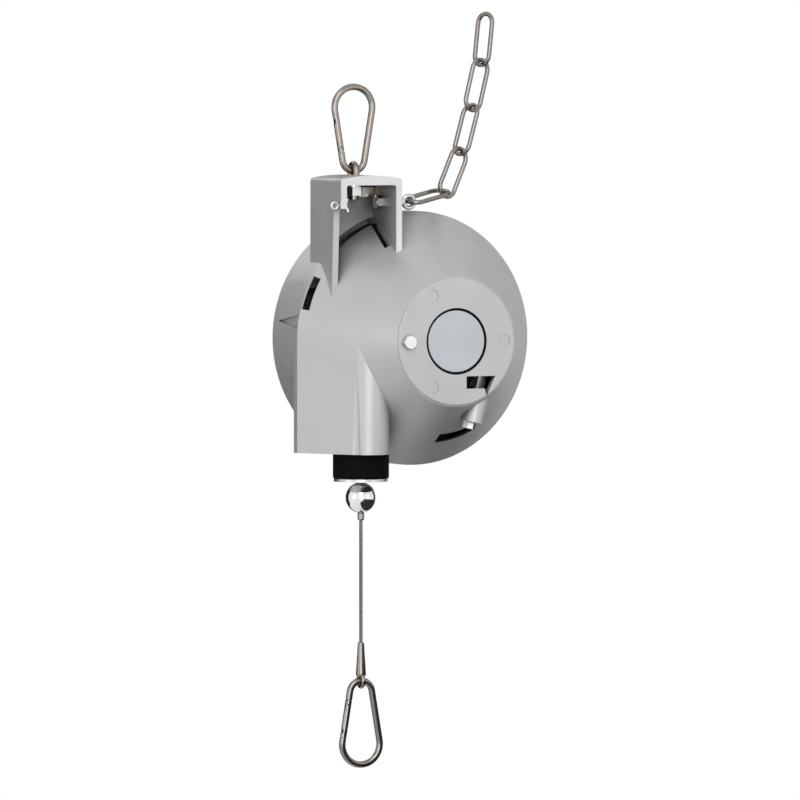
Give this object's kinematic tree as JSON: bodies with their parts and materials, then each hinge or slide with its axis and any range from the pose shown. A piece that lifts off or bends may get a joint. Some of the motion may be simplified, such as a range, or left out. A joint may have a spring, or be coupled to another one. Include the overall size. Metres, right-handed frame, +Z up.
{
  "type": "tool balancer",
  "caption": "Hanging spring balancer with a conical cast housing, a retracting wire rope with ball stop, safety chain and gated snap hooks above and below.",
  "frame": {"origin": "inside the top of the upper snap hook's wide bow, where the overhead support bears", "axes": "+Z up along the load line, +X to the right of the flat round face, +Y towards the back cover"},
  "size_m": [0.2, 0.145, 0.5921],
  "materials": {
    "cast_grey": "satin silver-grey paint on a pressure casting",
    "rope_drum": "turned",
    "label": "pale blue-grey, blank",
    "black_rubber": "matte black",
    "polished_steel": "polished stainless",
    "chrome": "bright",
    "plated_steel": "zinc-plated",
    "warm_steel": "bare, warm tinted",
    "dark_steel": "oiled",
    "spring_steel": "blued and greased",
    "ground_steel": "ground",
    "bronze": "machined bronze",
    "nylon": "natural nylon",
    "stranded_rope": "stranded stainless rope"
  },
  "bodies": {
    "upper_hook": {"upper_hook": "polished_steel", "upper_hook_rivet": "dark_steel"},
    "upper_gate": {"upper_hook_gate": "polished_steel", "upper_hook_spring": "spring_steel"},
    "suspension_eye": {"suspension_eye": "polished_steel", "eye_washer": "plated_steel", "eye_nut": "plated_steel"},
    "housing": {"housing": "cast_grey", "rear_cover": "cast_grey", "cover_screws": "plated_steel", "label_disc": "label", "label_seal": "black_rubber", "face_bolt": "plated_steel", "bush_retainer": "dark_steel", "front_bush": "bronze", "rear_bush": "bronze", "worm_bush_upper": "bronze", "worm_bush_lower": "bronze", "suspension_bar": "warm_steel", "bar_bolt": "plated_steel", "split_pin": "plated_steel", "chain_eyebolt": "plated_steel", "chain_nuts": "plated_steel", "guide_nozzle": "nylon", "bumper": "black_rubber", "bumper_washer": "plated_steel"},
    "drum": {"rope_drum": "rope_drum", "rope_on_drum": "stranded_rope", "spring_barrel": "rope_drum", "barrel_lid": "rope_drum", "drum_screws": "plated_steel", "lid_screws": "plated_steel", "mainspring": "spring_steel", "front_bearing": "ground_steel", "rear_bearing": "ground_steel"},
    "rope_end": {"ball_stop": "chrome", "rope_ferrule": "polished_steel", "wire_rope": "stranded_rope", "rope_end_eye": "polished_steel"},
    "lower_hook": {"lower_hook": "polished_steel", "lower_hook_rivet": "dark_steel"},
    "lower_gate": {"lower_hook_gate": "polished_steel", "lower_hook_spring": "spring_steel"},
    "arbor": {"arbor": "ground_steel", "worm_wheel": "bronze", "wheel_key": "ground_steel"},
    "worm": {"worm_shaft": "ground_steel"},
    "chain_link_1": {"chain_link_1": "polished_steel"},
    "chain_link_2": {"chain_link_2": "polished_steel"},
    "chain_link_3": {"chain_link_3": "polished_steel"},
    "chain_link_4": {"chain_link_4": "polished_steel"},
    "chain_link_5": {"chain_link_5": "polished_steel"}
  },
  "joints": [
    {"name": "upper_gate_hinge", "type": "hinge", "parent": "upper_hook", "child": "upper_gate", "pos_m": [-0.01115, 0, -0.04473], "axis": [0, 1, 0], "range_deg": [0, 40], "stiffness_Nm_per_rad": 0.02, "springref_deg": -28.65},
    {"name": "suspension_swing", "type": "hinge", "parent": "upper_hook", "child": "suspension_eye", "pos_m": [0, 0, -0.06325], "axis": [1, 0, 0], "range_deg": [-70, 70]},
    {"name": "suspension_swivel", "type": "hinge", "parent": "suspension_eye", "child": "housing", "pos_m": [0, 0, -0.06635], "axis": [0, 0, 1], "continuous": true},
    {"name": "drum_spin", "type": "hinge", "parent": "housing", "child": "drum", "pos_m": [0.0545, -0.0138, -0.19505], "axis": [0, -1, 0], "range_deg": [0, 1925], "stiffness_Nm_per_rad": 0.03, "springref_deg": -8594.37},
    {"name": "rope_travel", "type": "slide", "parent": "housing", "child": "rope_end", "axis": [0, 0, -1], "range_m": [0, 2], "deforming": ["wire_rope"]},
    {"name": "lower_hook_swing", "type": "hinge", "parent": "rope_end", "child": "lower_hook", "pos_m": [0, -0.0138, -0.46215], "axis": [1, 0, 0], "range_deg": [-80, 80]},
    {"name": "lower_gate_hinge", "type": "hinge", "parent": "lower_hook", "child": "lower_gate", "pos_m": [-0.01115, -0.0138, -0.48067], "axis": [0, -1, 0], "range_deg": [0, 40], "stiffness_Nm_per_rad": 0.02, "springref_deg": -28.65},
    {"name": "arbor_turn", "type": "hinge", "parent": "housing", "child": "arbor", "pos_m": [0.0545, -0.0535, -0.19505], "axis": [0, 1, 0], "continuous": true},
    {"name": "worm_spin", "type": "hinge", "parent": "housing", "child": "worm", "pos_m": [0.08886, -0.0535, -0.20397], "axis": [-0.2512, 0, -0.9679], "continuous": true},
    {"name": "chain_joint_1", "type": "hinge", "parent": "housing", "child": "chain_link_1", "pos_m": [0.0461, -0.0035, -0.08765], "axis": [-0.309, 0.9511, 0], "range_deg": [-20, 12]},
    {"name": "chain_joint_2", "type": "hinge", "parent": "chain_link_1", "child": "chain_link_2", "pos_m": [0.08419, 0.00888, -0.07986], "axis": [-0.309, 0.9511, 0], "range_deg": [-15, 30]},
    {"name": "chain_joint_3", "type": "hinge", "parent": "chain_link_2", "child": "chain_link_3", "pos_m": [0.09888, 0.01365, -0.05082], "axis": [-0.309, 0.9511, 0], "range_deg": [-15, 30]},
    {"name": "chain_joint_4", "type": "hinge", "parent": "chain_link_3", "child": "chain_link_4", "pos_m": [0.11151, 0.01775, -0.01224], "axis": [-0.309, 0.9511, 0], "range_deg": [-15, 30]},
    {"name": "chain_joint_5", "type": "hinge", "parent": "chain_link_4", "child": "chain_link_5", "pos_m": [0.12066, 0.02073, 0.01922], "axis": [-0.309, 0.9511, 0], "range_deg": [-15, 30]}
  ],
  "couplings": [
    {"joint": "rope_travel", "follows": "drum_spin", "m_per_rad": 0.0595},
    {"joint": "arbor_turn", "follows": "worm_spin", "ratio": -0.026316}
  ]
}
